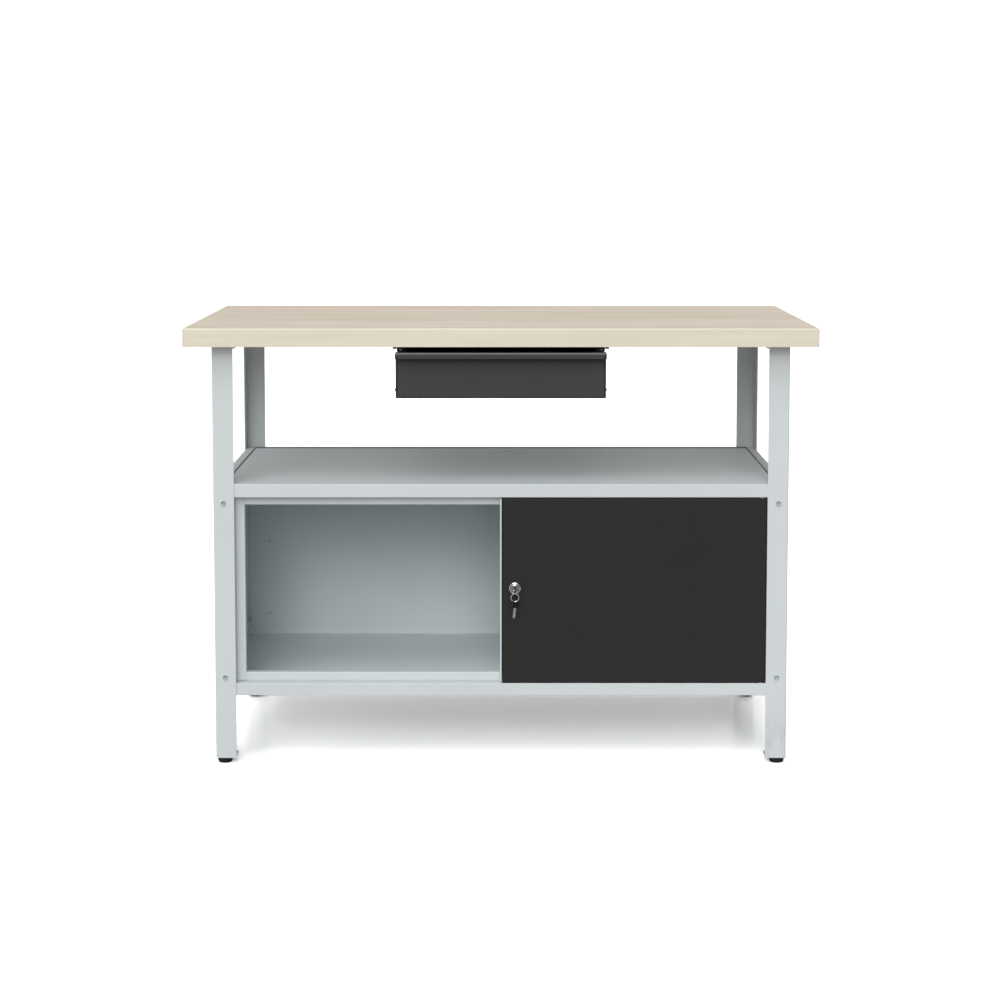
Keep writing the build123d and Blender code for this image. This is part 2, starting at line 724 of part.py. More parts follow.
spare_blade_long = 20
blade_mid = (
    bow_mid[0] + (spare_bow_radius + spare_blade_long / 2 - 1) * along[0],
    bow_mid[1] + (spare_bow_radius + spare_blade_long / 2 - 1) * along[1],
)
with BuildPart() as spare_blade:
    with BuildSketch(spare_plane.offset(-0.7)):
        with Locations(Location((blade_mid[0], blade_mid[1], 0), (0, 0, -spare_lean))):
            Rectangle(6, spare_blade_long + 2)
        with Locations(bow_mid):
            Circle(spare_bow_radius, mode=Mode.SUBTRACT)
    extrude(amount=1.4)
keep(spare_blade, "spare_blade")

# ================================================================ drawer
half = drawer_width / 2
with BuildPart() as drawer_front:
    with BuildSketch(Plane.XY.offset(face_bottom)):
        folded(
            [(-half, face_y + 15), (-half, face_y), (half, face_y), (half, face_y + 15)],
            sheet, bend, Side.LEFT,
        )
    extrude(amount=face_top - sheet - face_bottom)
    block(
        (-half + sheet / 2, half - sheet / 2), (face_y + sheet / 2, face_y + 14),
        (face_bottom, face_bottom + sheet),
    )
    with BuildSketch(Plane.YZ.offset(-half)):
        folded(
            [(lip_y, face_top - lip_drop), (lip_y, face_top), (face_y + 9, face_top)],
            sheet, bend, Side.RIGHT,
        )
    extrude(amount=drawer_width)
    for side in (-1, 1):
        for z in (face_top - 11, face_bottom + 15.5):
            ends = sorted((side * half, side * (half - sheet)))
            rod("x", (face_y + 7, z), ends[0], ends[1], rivet_radius, Mode.SUBTRACT)
keep(drawer_front, "drawer_front")

runner_rivet_rows = (face_y + 121, face_y + 241, tray_rear - 30)
runner_rivet_z = tray_top - 11
with BuildPart() as drawer_box:
    with BuildSketch(Plane.XY.offset(face_bottom + sheet)):
        folded(
            [
                (-tray_half, tray_front), (-tray_half, tray_rear), (tray_half, tray_rear),
                (tray_half, tray_front),
            ],
            sheet, bend, Side.RIGHT,
        )
    extrude(amount=tray_top - face_bottom - sheet)
    block(
        (-tray_half + sheet / 2, tray_half - sheet / 2), (tray_front, tray_rear - sheet / 2),
        (face_bottom + sheet, face_bottom + 2 * sheet),
    )
    for side in (-1, 1):
        ends = sorted((side * tray_half, side * (tray_half - sheet)))
        for z in (face_top - 11, face_bottom + 15.5):
            rod("x", (face_y + 7, z), ends[0], ends[1], rivet_radius, Mode.SUBTRACT)
        for y in runner_rivet_rows:
            rod("x", (y, runner_rivet_z), ends[0], ends[1], rivet_radius, Mode.SUBTRACT)
keep(drawer_box, "drawer_box")

runner_front = face_y + 11
runner_rear = tray_rear - 2
runner_wall = tray_half - sheet
hook_x = web_x - slide_gauge - 0.7
neck_x = hook_x - 12
with BuildPart() as drawer_runner_left:
    with BuildSketch(Plane.XZ.offset(-runner_rear)):
        folded(
            [
                (-runner_wall, tray_top - 19), (-runner_wall, tray_top), (-neck_x, tray_top),
                (-neck_x, hook_level), (-hook_x, hook_level),
            ],
            runner_gauge, bend, Side.RIGHT,
        )
    extrude(amount=runner_rear - runner_front)
    block(
        (-hook_x + 1, -neck_x - 3), (runner_rear - 3, runner_rear - 1),
        (hook_level + runner_gauge / 2, hook_level + runner_gauge + 3),
    )
    for y in runner_rivet_rows:
        rod("x", (y, runner_rivet_z), -runner_wall, -runner_wall + runner_gauge, rivet_radius, Mode.SUBTRACT)
keep(drawer_runner_left, "drawer_runner_left")

with BuildPart() as drawer_runner_right:
    mirror(drawer_runner_left.part, about=Plane.YZ)
keep(drawer_runner_right, "drawer_runner_right")

with BuildPart() as glide_pads:
    for side in (-1, 1):
        xs = sorted((side * (hook_x - 1), side * (neck_x + 4.5)))
        for y in (runner_front + 6, runner_rear - 36):
            block(xs, (y, y + 24), (slide_bottom + slide_gauge + 0.3, hook_level))
keep(glide_pads, "glide_pads")

with BuildPart() as drawer_rivets:
    for side in (-1, 1):
        for z in (face_top - 11, face_bottom + 15.5):
            ends = sorted((side * half, side * (half - 2 * sheet)))
            rivet("x", (face_y + 7, z), ends[0], ends[1], low=1.6)
        for y in runner_rivet_rows:
            ends = sorted((side * tray_half, side * (runner_wall - runner_gauge)))
            rivet("x", (y, runner_rivet_z), ends[0], ends[1])
keep(drawer_rivets, "drawer_rivets")

# ---------------------------------------------------------------- fixed slides under the top
lip_x = neck_x + 3.5
stop_rear = runner_rear + 0.4
travel = 325
stop_front = runner_rear - 3 - travel - 1
with BuildPart() as drawer_slide_left:
    with BuildSketch(Plane.XZ.offset(-(slide_front + slide_long))):
        folded(
            [
                (-web_x - 8.2, under_top - slide_gauge), (-web_x, under_top - slide_gauge),
                (-web_x, slide_bottom), (-lip_x, slide_bottom),
            ],
            slide_gauge, slide_bend, Side.LEFT,
        )
    extrude(amount=slide_long)
    for y in (stop_front - 2, stop_rear):
        low = hook_level + runner_gauge + 0.6 if y < 0 else slide_bottom + slide_gauge / 2
        block((-web_x + slide_gauge / 2, -lip_x - 0.5), (y, y + 2), (low, under_top - 0.2))
    for y in slide_screw_rows:
        rod("z", (-slide_screw_x, y), under_top - slide_gauge - 1, under_top, screw_core, Mode.SUBTRACT)
keep(drawer_slide_left, "drawer_slide_left")

with BuildPart() as drawer_slide_right:
    mirror(drawer_slide_left.part, about=Plane.YZ)
keep(drawer_slide_right, "drawer_slide_right")

washer_low = under_top - slide_gauge - 1.4
with BuildPart() as slide_washers:
    for side in (-1, 1):
        for y in slide_screw_rows:
            rod("z", (side * slide_screw_x, y), washer_low, under_top - slide_gauge, 3.1)
            rod("z", (side * slide_screw_x, y), washer_low, under_top, screw_core, Mode.SUBTRACT)
keep(slide_washers, "slide_washers")

with BuildPart() as slide_screws:
    for side in (-1, 1):
        for y in slide_screw_rows:
            rod("z", (side * slide_screw_x, y), washer_low, under_top + screw_bite, screw_core)
            hexagon("z", (side * slide_screw_x, y), washer_low - 5.2, washer_low, 6.5)
keep(slide_screws, "slide_screws")

# ================================================================ write every piece
os.makedirs("parts", exist_ok=True)
for label, solid in parts.items():
    export_step(solid, f"parts/{label}.step")
print(len(parts), "pieces")
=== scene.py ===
from math import cos, pi, radians, sin

import bmesh
import bpy
from mathutils import Matrix, Vector


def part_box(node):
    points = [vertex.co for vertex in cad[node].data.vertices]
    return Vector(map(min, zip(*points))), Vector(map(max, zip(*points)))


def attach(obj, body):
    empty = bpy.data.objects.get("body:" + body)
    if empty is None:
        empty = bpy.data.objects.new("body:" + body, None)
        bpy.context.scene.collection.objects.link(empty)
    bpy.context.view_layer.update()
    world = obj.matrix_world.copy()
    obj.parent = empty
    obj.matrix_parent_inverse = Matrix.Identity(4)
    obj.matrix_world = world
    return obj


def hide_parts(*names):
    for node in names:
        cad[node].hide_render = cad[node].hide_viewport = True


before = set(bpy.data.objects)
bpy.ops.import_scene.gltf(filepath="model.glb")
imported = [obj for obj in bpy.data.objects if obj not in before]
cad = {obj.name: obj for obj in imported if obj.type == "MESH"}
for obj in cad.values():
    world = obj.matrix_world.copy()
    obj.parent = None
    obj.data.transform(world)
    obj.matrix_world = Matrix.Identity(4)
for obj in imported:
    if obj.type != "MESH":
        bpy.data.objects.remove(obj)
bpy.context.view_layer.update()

# ---------------------------------------------------------------- worktop
# A 35 mm board of pale close-grained timber, grain along its length, with a lighter lipping round
# its edges. It is sanded, lacquered matt and screwed down from below through the top rails.


class Wire:
    """A socket of a node tree. Sums written on it add their Math nodes to the tree."""

    def __init__(self, tree, socket=None):
        self.tree, self.socket = tree, socket

    def add(self, kind, settings=None, sockets=None, out=0):
        """Adds a node: first its settings, then the values or links of its sockets."""
        node = self.tree.nodes.new(kind)
        for name, value in (settings or {}).items():
            setattr(node, name, value)
        for key, value in (sockets or {}).items():
            if isinstance(value, Wire):
                self.tree.links.new(value.socket, node.inputs[key])
            else:
                node.inputs[key].default_value = value
        return Wire(self.tree, node.outputs[out])

    def maths(self, operation, *terms):
        return self.add("ShaderNodeMath", {"operation": operation}, dict(enumerate(terms)))

    def __add__(self, other):
        return self.maths("ADD", self, other)

    def __sub__(self, other):
        return self.maths("SUBTRACT", self, other)

    def __rsub__(self, other):
        return self.maths("SUBTRACT", other, self)

    def __mul__(self, other):
        return self.maths("MULTIPLY", self, other)

    def __truediv__(self, other):
        return self.maths("DIVIDE", self, other)

    def __rtruediv__(self, other):
        return self.maths("DIVIDE", other, self)

    __radd__, __rmul__ = __add__, __mul__

    def above(self, edge, soft):
        """0 below the edge, 1 above it, with a soft change of that width."""
        return self.add(
            "ShaderNodeMapRange",
            {"interpolation_type": "SMOOTHSTEP"},
            {0: self, 1: edge - soft / 2, 2: edge + soft / 2},
        )

    def tint(self, low, high):
        """A colour between two, by this share."""
        return self.add("ShaderNodeMix", {"data_type": "RGBA"}, {0: self, 6: low, 7: high}, 2)

    def stretched(self, scale, place=(0, 0, 0)):
        return self.add("ShaderNodeMapping", None, {0: self, 1: place, 3: scale})

    def noise(self, scale, detail=3.0, rough=0.55, twist=0.0):
        return self.add("ShaderNodeTexNoise", None, {0: self, 2: scale, 3: detail, 4: rough, 8: twist})

    def parts(self):
        """The three numbers of a vector."""
        node = self.tree.nodes.new("ShaderNodeSeparateXYZ")
        self.tree.links.new(self.socket, node.inputs[0])
        return [Wire(self.tree, out) for out in node.outputs]


def finish(name, paint):
    """A material: paint(place) gives the shader's sockets from the piece's own coordinates."""
    made = bpy.data.materials.new(name)
    made.use_nodes = True
    tree = made.node_tree
    shader = tree.nodes["Principled BSDF"]
    place = Wire(tree).add("ShaderNodeTexCoord", out=3)
    for key, value in paint(place).items():
        if isinstance(value, Wire):
            tree.links.new(value.socket, shader.inputs[key])
        else:
            shader.inputs[key].default_value = value
    return made


def bump(height, depth, strength=1.0):
    """Surface relief, depth in metres."""
    return height.add("ShaderNodeBump", None, {"Strength": strength, "Distance": depth, "Height": height})


def coat(material, *nodes):
    """Gives CAD pieces a finish through their material slots."""
    for node in nodes:
        if not cad[node].material_slots:
            cad[node].data.materials.append(material)
        for slot in cad[node].material_slots:
            slot.material = material


board_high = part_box("worktop")[1]
lipping, arris = 0.0045, 0.0012


def timber(place):
    x, y, z = place.parts()
    streaks = place.stretched((1.5, 40, 40)).noise(1, 6, 0.62, 0.35)
    figure = place.stretched((0.55, 9, 9), (3.1, 0.4, 0)).noise(1, 3, 0.5, 0.9)
    fibre = place.stretched((22, 700, 700)).noise(1, 3, 0.6)
    pores = place.stretched((42, 1300, 1300), (0, 7, 2)).noise(1, 1, 0.5).above(0.66, 0.08)
    flecks = place.stretched((120, 620, 620), (5, 1, 0)).noise(1, 2, 0.5).above(0.64, 0.1)
    wave = figure * 46 + y * 90
    rings = wave.maths("SINE", wave)
    shade = streaks * 0.74 + figure * 0.30 + fibre * 0.16 + rings * 0.03 - 0.09
    wood = shade.above(0.5, 0.38).tint((0.565, 0.476, 0.366, 1), (0.735, 0.652, 0.545, 1))
    warm = place.stretched((2.4, 17, 17), (9, 2, 4)).noise(1, 3, 0.55).above(0.54, 0.16)
    wood = (warm * 0.5).tint(wood, (0.665, 0.555, 0.465, 1))
    marks = (pores * 0.20 + flecks * 0.12).tint(wood, (0.42, 0.32, 0.23, 1))
    along, across = x.maths("ABSOLUTE", x), y.maths("ABSOLUTE", y)
    side = along.above(board_high.x - 0.0004, 0.0003)
    front = across.above(board_high.y - 0.0004, 0.0003)
    edge = side.maths("MAXIMUM", side, front)
    band = shade.above(0.5, 0.6).tint((0.665, 0.605, 0.485, 1), (0.765, 0.712, 0.59, 1))
    band = (pores * 0.06).tint(band, (0.5, 0.42, 0.3, 1))
    end_piece = along.above(board_high.x - lipping, 0.0006) * front
    band = (end_piece * 0.5).tint(band, (0.71, 0.60, 0.52, 1))
    colour = edge.tint(marks, band)
    # the top arris is painted pale: partly wear, partly a painted highlight along the edge
    corner = along.maths("MAXIMUM", along - (board_high.x - arris), across - (board_high.y - arris))
    arris_wear_and_highlight = corner.above(0, 0.0016) * z.above(board_high.z - 0.0018, 0.0014)
    colour = (arris_wear_and_highlight * 0.55).tint(colour, (0.86, 0.80, 0.70, 1))
    return {
        "Base Color": colour,
        "Roughness": 0.44 + fibre * 0.16 + pores * 0.12 - arris_wear_and_highlight * 0.08,
        "Normal": bump(fibre * 0.6 + streaks * 0.5 - pores * 0.8, 0.00006, 0.7),
        "Specular IOR Level": 0.32,
    }


coat(finish("timber", timber), "worktop")

# ---------------------------------------------------------------- legs, top rails and foot plates
# Angle legs folded from 2 mm steel, with channels welded across under the ends of the top and
# small plates in the feet. All is welded first, then powder coated light grey with a fine grit.


def powder(colour, gloss=0.46, grit=1.0, drift=0.035, dust=0.0, shine=0.4, painted_light_marks=None):
    """Baked powder: orange peel, fine grit, slight drift in tone, and dust near the floor.

    The marks function, given x, y and z, lists shares and colours painted over bends, grooves and faces:
    painted shade and painted light that make them look unlike the rest.
    """

    def paint(place):
        peel = place.noise(420, 2, 0.5)
        grain = place.noise(1900, 2, 0.6)
        cloud = place.noise(3.1, 3, 0.55)
        smear = place.stretched((6, 6, 17), (1, 5, 3)).noise(1, 4, 0.6).above(0.6, 0.2)
        tone = cloud * 0.7 + grain * 0.3
        low = [c * (1 - drift) for c in colour] + [1]
        high = [c * (1 + drift) for c in colour] + [1]
        shade = tone.above(0.5, 0.4).tint(low, high)
        if dust:
            scuff = place.stretched((30, 30, 9)).noise(1, 4, 0.65).above(0.57, 0.16)
            near_floor = 1 - place.parts()[2].above(0.07, 0.12)
            shade = (scuff * near_floor * dust).tint(shade, [c * 0.62 for c in colour] + [1])
        # painted light and painted shade laid over the powder's tone
        for share, other in painted_light_marks(*place.parts()) if painted_light_marks else ():
            shade = share.tint(shade, other)
        return {
            "Base Color": shade,
            "Roughness": gloss + grain * 0.10 + smear * 0.05,
            "Normal": bump(peel * 0.8 + grain * 0.35, 0.00004 * grit, 0.55),
            "Specular IOR Level": shine,
        }

    return paint


light_grey = (0.605, 0.645, 0.652)
grey = finish("grey powder coat", powder(light_grey, dust=0.35))
coat(grey, "leg_front_left", "leg_front_right", "leg_rear_left", "leg_rear_right")
coat(grey, "top_rail_left", "top_rail_right", "foot_plates")

# ---------------------------------------------------------------- feet
# Four tapered black plastic feet, each moulded with a ribbed skirt round a steel stud, stand under
# the legs. The stud goes up through the foot plate and is held there by a plain hexagon nut.


def solids(node):
    """Lowest and highest corner of each separate solid in a CAD node."""
    shape = bmesh.new()
    shape.from_mesh(cad[node].data)
    bmesh.ops.remove_doubles(shape, verts=shape.verts, dist=1e-6)
    left, found = set(shape.verts), []
    while left:
        todo, one = [left.pop()], []
        while todo:
            point = todo.pop()
            one.append(point.co.copy())
            for edge in point.link_edges:
                other = edge.other_vert(point)
                if other in left:
                    left.remove(other)
                    todo.append(other)
        low = Vector([min(p[i] for p in one) for i in range(3)])
        found.append((low, Vector([max(p[i] for p in one) for i in range(3)])))
    shape.free()
    return sorted(found, key=lambda pair: tuple(round(v, 5) for v in pair[0]))


def seated(low, high, axis, sign, head):
    """Where a head of that height sits at one end of a solid, and the way that it faces."""
    seat, way = (low + high) / 2, Vector((0, 0, 0))
    seat[axis] = (high if sign > 0 else low)[axis] - sign * head
    way[axis] = sign
    return seat, way


def apothem(wire, across):
    """Distance to the side of a hexagon that many metres across, in every direction."""
    x, y, z = wire.add("GeometryNodeInputPosition").parts()
    turn = x.maths("ARCTAN2", y, x)
    step = pi / 3
    within = turn.maths("FLOORED_MODULO", turn, step) - step / 2
    return across / 2 / within.maths("COSINE", within), x, y, z


def turned(name, spots, sizes, profile, material, body, node, sides=32, bored=False, angle=32):
    """One turned part on each spot, a place and the way its outer end faces.

    profile(sizes) lists its rings from the inner end outwards: radius, level, and "hex" where the
    ring is a hexagon and the radius is half of its width across flats. Sizes are in metres.
    """
    tree = bpy.data.node_groups.new(name, "GeometryNodeTree")
    tree.interface.new_socket("Geometry", in_out="OUTPUT", socket_type="NodeSocketGeometry")
    tree.interface.new_socket("Geometry", in_out="INPUT", socket_type="NodeSocketGeometry")
    for label in sizes:
        tree.interface.new_socket(label, in_out="INPUT", socket_type="NodeSocketFloat")
    given = tree.nodes.new("NodeGroupInput")
    size = {label: Wire(tree, given.outputs[label]) for label in sizes}
    rings = profile(size)
    here = Wire(tree)

    def shaped(mesh, top, ring):
        """Moves the open ring out or in to its hexagon, or back to a circle."""
        if len(ring) > 2:
            reach, x, y, z = apothem(here, ring[0] * 2)
        else:
            x, y, z = here.add("GeometryNodeInputPosition").parts()
            reach = ring[0]
        length = x.maths("SQRT", x * x + y * y)
        place = here.add("ShaderNodeCombineXYZ", None, {0: x / length * reach, 1: y / length * reach, 2: z})
        sockets = {0: mesh, 2: place}
        if top:
            sockets[1] = top
        return here.add("GeometryNodeSetPosition", None, sockets)

    level, top = rings[0][1], None
    disc = here.add("GeometryNodeMeshCircle", {"fill_type": "NGON"}, {0: sides, 1: rings[0][0]})
    base = here.add("ShaderNodeCombineXYZ", None, {2: level})
    mesh = shaped(here.add("GeometryNodeTransform", None, {0: disc, 1: base}), None, rings[0])
    first = mesh.add("GeometryNodeFlipFaces", None, {0: mesh})
    for ring in rings[1:]:
        rise = here.add("ShaderNodeCombineXYZ", None, {2: ring[1] - level})
        pulled = {0: mesh, 2: rise, 3: 1.0, 4: False}
        if top:
            pulled[1] = top
        extruded = here.add("GeometryNodeExtrudeMesh", None, pulled)
        mesh, top = extruded, Wire(tree, extruded.socket.node.outputs["Top"])
        mesh = shaped(mesh, top, ring)
        level = ring[1]
    if bored:
        only_faces = {"domain": "FACE", "mode": "ONLY_FACE"}
        whole = here.add("GeometryNodeDeleteGeometry", only_faces, {0: mesh, 1: top})
    else:
        join = tree.nodes.new("GeometryNodeJoinGeometry")
        tree.links.new(first.socket, join.inputs[0])
        tree.links.new(mesh.socket, join.inputs[0])
        whole = Wire(tree, join.outputs[0])
    whole = whole.add("GeometryNodeMergeByDistance", None, {0: whole, 2: 1e-6})
    facing = here.add("GeometryNodeInputNamedAttribute", {"data_type": "FLOAT_VECTOR"}, {0: "facing"})
    turn = here.add("FunctionNodeAlignRotationToVector", {"axis": "Z"}, {2: facing})
    stood = here.add(
        "GeometryNodeInstanceOnPoints", None, {0: Wire(tree, given.outputs["Geometry"]), 2: whole, 5: turn}
    )
    stood = stood.add("GeometryNodeRealizeInstances", None, {0: stood})
    stood = stood.add("GeometryNodeSetMaterial", None, {0: stood, 2: material})
    tree.links.new(stood.socket, tree.nodes.new("NodeGroupOutput").inputs[0])

    points = bpy.data.meshes.new(name)
    points.from_pydata([spot for spot, _ in spots], [], [])
    ways = points.attributes.new("facing", "FLOAT_VECTOR", "POINT")
    for i, (_, way) in enumerate(spots):
        ways.data[i].vector = way
    return settle(name, points, tree, sizes, body, node, angle)


def settle(name, start, tree, sizes, body, nodes, angle):
    """Runs a geometry tree once and keeps its result as a plain mesh that rides on a body."""
    piece = bpy.data.objects.new(name, start)
    bpy.context.scene.collection.objects.link(piece)
    modifier = piece.modifiers.new(name, "NODES")
    modifier.node_group = tree
    for item in tree.interface.items_tree:
        if item.in_out == "INPUT" and item.name in sizes:
            modifier[item.identifier] = sizes[item.name]
    graph = bpy.context.evaluated_depsgraph_get()
    mesh = bpy.data.meshes.new_from_object(piece.evaluated_get(graph))
    piece.modifiers.clear()
    piece.data = mesh
    return kept(piece, body, nodes, angle)


def kept(piece, body, nodes, angle=32):
    """Rounded shading up to that angle, then the piece's body, and its CAD nodes hidden."""
    piece.data.shade_smooth()
    piece.data.set_sharp_from_angle(angle=radians(angle))
    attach(piece, body)
    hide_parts(*([nodes] if isinstance(nodes, str) else nodes))
    return piece


def plastic(colour, gloss, shine=0.5):
    def paint(place):
        grain = place.noise(1400, 3, 0.6)
        flow = place.stretched((40, 40, 90)).noise(1, 3, 0.5)
        low, high = [c * 0.8 for c in colour] + [1], [c * 1.25 for c in colour] + [1]
        return {
            "Base Color": (flow * 0.6 + grain * 0.4).above(0.5, 0.4).tint(low, high),
            "Roughness": gloss + grain * 0.12,
            "Normal": bump(grain, 0.00003, 0.5),
            "Specular IOR Level": shine,
        }

    return paint


black_plastic = finish("black moulded plastic", plastic((0.010, 0.010, 0.011), 0.52, 0.3))
for foot in ("foot_front_left", "foot_front_right", "foot_rear_left", "foot_rear_right"):
    low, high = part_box(foot)
    middle = (low + high) / 2
    turned(
        foot + "_moulding",
        [((middle.x, middle.y, 0), (0, 0, 1))],
        {"Sole radius": 0.0122, "Top radius": 0.015, "Height": 0.011, "Rib": 0.0005,
         "Stud radius": 0.0039, "Stud end": high.z},
        lambda s: [
            (s["Sole radius"] * 0.78, 0.0004), (s["Sole radius"] * 0.84, 0.0),
            (s["Sole radius"] * 0.95, 0.0), (s["Sole radius"] + s["Rib"], 0.0005),
            (s["Sole radius"] + s["Rib"] * 2, 0.0016),
            (s["Top radius"] - s["Rib"] * 2, s["Height"] * 0.38),
            (s["Top radius"] - s["Rib"] * 2.4, s["Height"] * 0.43),
            (s["Top radius"] - s["Rib"], s["Height"] * 0.49), (s["Top radius"], s["Height"] * 0.58),
            (s["Top radius"], s["Height"] * 0.95), (s["Top radius"] - s["Rib"], s["Height"]),
            (s["Stud radius"], s["Height"]), (s["Stud radius"], s["Stud end"] - 0.001),
            (s["Stud radius"] * 0.75, s["Stud end"]),
        ],
        black_plastic, "bench", foot, sides=48,
    )


def plated(colour, gloss, scratch=0.08):
    """Bright plating: faint drift in tone, fine scratches and handling marks."""

    def paint(place):
        grain = place.noise(2600, 2, 0.6)
        lines = place.stretched((900, 900, 120)).noise(1, 3, 0.6)
        marks = place.noise(130, 4, 0.6)
        low, high = [c * 0.86 for c in colour] + [1], [min(c * 1.08, 1) for c in colour] + [1]
        return {
            "Base Color": (marks * 0.6 + lines * 0.4).above(0.5, 0.5).tint(low, high),
            "Metallic": 1.0,
            "Roughness": gloss + marks * 0.10 + lines * scratch,
            "Normal": bump(lines * 0.5 + grain * 0.5, 0.00001, 0.35),
        }

    return paint


zinc = finish("zinc plate", plated((0.66, 0.66, 0.64), 0.30))
turned(
    "foot_stud_nuts",
    [seated(low, high, 2, 1, high.z - low.z) for low, high in solids("foot_nuts")],
    {"Across flats": 0.013, "Bore radius": 0.0041, "Height": 0.0065},
    lambda s: [
        (s["Bore radius"], 0.0), (s["Across flats"] / 2 * 0.96, 0.0),
        (s["Across flats"] / 2, 0.0005, "hex"),
        (s["Across flats"] / 2, s["Height"] - 0.0005, "hex"), (s["Across flats"] / 2 * 0.96, s["Height"]),
        (s["Bore radius"] + 0.0004, s["Height"]), (s["Bore radius"], s["Height"] - 0.0004),
        (s["Bore radius"], 0.0),
    ],
    zinc, "bench", "foot_nuts", sides=24, bored=True,
)

# ---------------------------------------------------------------- screws up into the worktop
# Six zinc plated pan-head screws go up through the top rails into the board. Each has a hexagon
# socket in its head and a plain core that the board's drilled hole grips.
screw_head = 0.0028
turned(
    "rail_screws",
    [seated(low, high, 2, -1, screw_head) for low, high in solids("worktop_screws")],
    {"Head radius": 0.0045, "Head height": screw_head, "Socket across": 0.003, "Core radius": 0.002,
     "Core length": 0.0196},
    lambda s: [
        (s["Core radius"] * 0.3, -1 * s["Core length"]), (s["Core radius"], 0.003 - s["Core length"]),
        (s["Core radius"], 0.0), (s["Head radius"], 0.0), (s["Head radius"], s["Head height"] * 0.25),
        (s["Head radius"] * 0.92, s["Head height"] * 0.6),
        (s["Head radius"] * 0.75, s["Head height"] * 0.86), (s["Head radius"] * 0.5, s["Head height"]),
        (s["Socket across"] / 2, s["Head height"] - 0.0001, "hex"),
        (s["Socket across"] / 2, s["Head height"] * 0.3, "hex"),
    ],
    zinc, "bench", "worktop_screws", sides=24,
)

# ---------------------------------------------------------------- cabinet
# Folded 1 mm sheets: two sides, back, floor pan, middle shelf, the folds above and below the front
# opening, and a hemmed partition. Spot welded and riveted, and coated with the same light grey.
coat(grey, "side_panel_left", "side_panel_right")
coat(grey, "front_header", "front_sill", "centre_partition")
shelf_low, shelf_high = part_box("middle_shelf")
back_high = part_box("back_panel")[1]
sheet = 0.001
pan_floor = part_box("bottom_pan")[0].z + sheet
# painted shade: near-black laid into the grooves along the shelf's and the back's edges, where shade falls
painted_groove_shade = (0.06, 0.07, 0.072, 1)


def shelf_painted_light_and_shade(x, y, z):
    """Painted shade in the grooves where the shelf's turned-down edges meet the sides and the back, and
    painted light on the flat top.
    """
    across = (x.maths("ABSOLUTE", x) - shelf_high.x).above(-0.0024, 0.001)
    behind_it = (y - shelf_high.y).above(-0.0028, 0.001)
    # painted shade along the grooves at the shelf's sides and back
    groove = across.maths("MAXIMUM", across, behind_it) * (y - shelf_low.y).above(0.006, 0.001)
    # painted light: the shelf's flat top gets a lighter, cooler grey than the sheet's own paint
    flat = (z - shelf_high.z).above(-0.0005, 0.0006)
    return [(flat, (0.615, 0.672, 0.695, 1)), (groove * 0.88, painted_groove_shade)]


def back_painted_shade(x, y, z):
    """Painted shade along the inner side of the back's upper edge, in the same dark groove colour."""
    inner = 1 - (y - back_high.y).above(-0.0010, 0.0006)
    return [((z - shelf_high.z).above(-0.0015, 0.001) * inner * 0.8, painted_groove_shade)]


def pan_painted_light(x, y, z):
    """Painted light: the floor of the pan is painted a little brighter and cooler than its folds."""
    flat = z.above(pan_floor - 0.0004, 0.0006) * (1 - z.above(pan_floor + 0.0004, 0.0006))
    return [(flat, (0.68, 0.745, 0.77, 1))]


coat(finish("shelf powder coat", powder(light_grey, painted_light_marks=shelf_painted_light_and_shade)), "middle_shelf")
coat(finish("back powder coat", powder(light_grey, painted_light_marks=back_painted_shade)), "back_panel")
coat(finish("pan powder coat", powder(light_grey, painted_light_marks=pan_painted_light)), "bottom_pan")

# ---------------------------------------------------------------- rivets of the cabinet
# Blind rivets, painted over with the sheets in a darker grey that is painted shade round their domes. Each
# has a low domed head with the broken end of its pull stem in the middle, and a rolled collar on the blind
# side.
# painted shade: the fixings' grey is darker than the sheets' so their heads and dishes read as shaded
fixing_grey_painted_shade = finish("grey paint on fixings", powder((0.43, 0.465, 0.475), 0.30, 0.7, shine=0.6))


def rivet_rings(s):
    head, low, grip = s["Head radius"], s["Head height"], s["Grip"]
    return [
        (s["Core radius"] * 0.5, 0.0 - grip - low), (head * 0.6, -0.85 * low - grip),
        (head * 0.92, -0.45 * low - grip), (head, 0.0 - grip),
        (s["Core radius"], 0.0 - grip), (s["Core radius"], 0.0),
        (head, 0.0), (head * 0.97, low * 0.3), (head * 0.85, low * 0.65), (head * 0.66, low * 0.88),
        (head * 0.46, low), (head * 0.40, low * 0.8), (head * 0.36, low * 0.55),
        (head * 0.24, low * 0.55), (head * 0.22, low * 0.85),
    ]


def rivet_spots(node, low_head):
    """Where each rivet's outer head sits, the way it faces, and the length that it grips."""
    spots = {}
    for low, high in solids(node):
        span = high - low
        axis = min(range(3), key=lambda i: span[i])
        sign = 1 if axis == 2 or (low + high)[axis] > 0 else -1
        grip = round(span[axis] - 2 * low_head, 5)
        spots.setdefault(grip, []).append(seated(low, high, axis, sign, low_head))
    return spots


def rivets(name, node, low_head, material, body):
    """The rivets of a CAD node, one piece for each length of grip."""
    for i, (grip, spots) in enumerate(sorted(rivet_spots(node, low_head).items())):
        turned(
            name + "_" + str(i + 1), spots,
            {"Head radius": 0.003, "Head height": low_head, "Core radius": 0.0017, "Grip": grip},
            rivet_rings, material, body, node, sides=20,
        )


rivets("partition_rivet_row", "partition_rivets", 0.0012, fixing_grey_painted_shade, "bench")
rivets("carcass_rivet_row", "carcass_rivets", 0.0012, fixing_grey_painted_shade, "bench")
